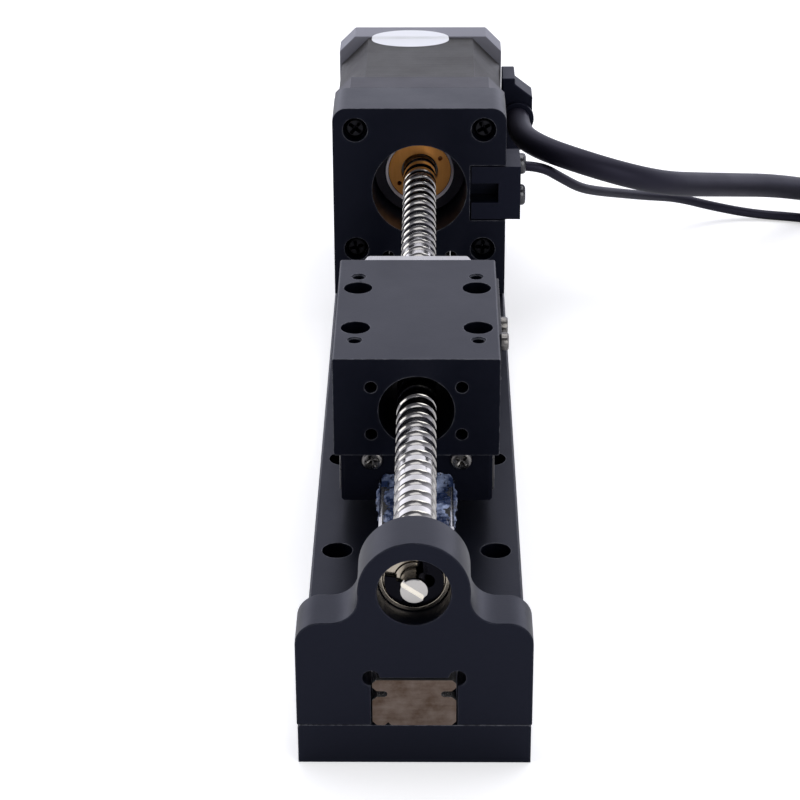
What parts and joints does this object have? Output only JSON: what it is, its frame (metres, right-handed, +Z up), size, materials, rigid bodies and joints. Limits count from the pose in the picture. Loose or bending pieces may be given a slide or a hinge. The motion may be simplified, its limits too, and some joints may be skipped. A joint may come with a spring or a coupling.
{
  "type": "ball_screw_linear_actuator",
  "caption": "Compact ball screw linear actuator: a bored carriage on a profiled guide rail, a bearing block, and a hollow-shaft stepper motor that turns the screw",
  "frame": {"origin": "the middle of the base plate's underside", "axes": "+Y runs along the travel from the bearing block to the motor, +Z is up, and +X is the side with the sensor and the cable outlet"},
  "size_m": [0.2079, 0.3441, 0.0565],
  "materials": {
    "anodised_black": "black anodised, satin, on milled aluminium",
    "rail_steel": "hardened and ground steel",
    "screw_steel": "rolled and polished steel",
    "bearing_steel": "polished bearing steel",
    "black_steel": "black oxide",
    "copper_orange": "turned metal, copper coloured",
    "iron": "laminated electrical steel",
    "copper_wire": "enamelled copper wire",
    "magnet": "nickel plated",
    "motor_black": "black paint, satin",
    "black_plastic": "moulded, matt",
    "sheath": "soft black cable sheath",
    "lead_plastic": "insulated leads",
    "connector_white": "moulded natural plastic"
  },
  "bodies": {
    "base": {"base_plate": "anodised_black", "guide_rail": "rail_steel", "rail_screws": "black_steel", "front_block": "anodised_black", "front_block_screws": "black_steel", "front_bearing_outer_ring": "bearing_steel", "front_bearing_front_shield": "bearing_steel", "front_bearing_rear_shield": "bearing_steel", "motor_bracket": "anodised_black", "motor_bracket_screws": "black_steel", "motor_screws": "black_steel", "motor_front_cap": "motor_black", "motor_stator": "iron", "motor_windings": "copper_wire", "motor_rear_cap": "motor_black", "motor_body_screws": "black_steel", "motor_ring_nut": "copper_orange", "motor_front_bearing_outer_ring": "bearing_steel", "motor_rear_bearing_outer_ring": "bearing_steel", "cable_outlet": "black_plastic", "cable_gland": "black_plastic", "sensor_body": "black_plastic", "sensor_screws": "black_steel", "sensor_cable_boot": "sheath", "motor_cable": "sheath", "motor_cable_coil": "sheath", "motor_cable_plug": "connector_white", "sensor_cable": "sheath", "sensor_cable_coil": "sheath", "sensor_cable_leads": "lead_plastic"},
    "screw": {"ball_screw": "screw_steel", "front_bearing_inner_ring": "bearing_steel", "front_bearing_balls": "bearing_steel", "front_e_ring": "black_steel", "motor_front_bearing_inner_ring": "bearing_steel", "motor_rear_bearing_inner_ring": "bearing_steel", "rotor_sleeve": "screw_steel", "rotor_front_core": "iron", "rotor_magnet": "magnet", "rotor_rear_core": "iron"},
    "carriage": {"carriage_housing": "anodised_black", "carriage_screws": "black_steel", "guide_block": "rail_steel", "guide_front_cap": "black_plastic", "guide_rear_cap": "black_plastic", "guide_front_seal": "black_plastic", "guide_rear_seal": "black_plastic", "guide_front_cap_screws": "black_steel", "guide_rear_cap_screws": "black_steel", "ball_nut": "bearing_steel", "nut_front_wiper": "black_plastic", "nut_rear_wiper": "black_plastic", "nut_screws": "black_steel", "sensor_flag": "black_steel", "flag_screws": "black_steel"}
  },
  "joints": [
    {"name": "carriage_slide", "type": "slide", "parent": "base", "child": "carriage", "axis": [0, 1, 0], "range_m": [-0.046, 0.054]},
    {"name": "screw_spin", "type": "hinge", "parent": "base", "child": "screw", "pos_m": [0, 0, 0.0355], "axis": [0, 1, 0], "range_deg": [-4860.1, 4140.1]}
  ],
  "couplings": [
    {"joint": "screw_spin", "follows": "carriage_slide", "rad_per_m": -1570.8}
  ]
}
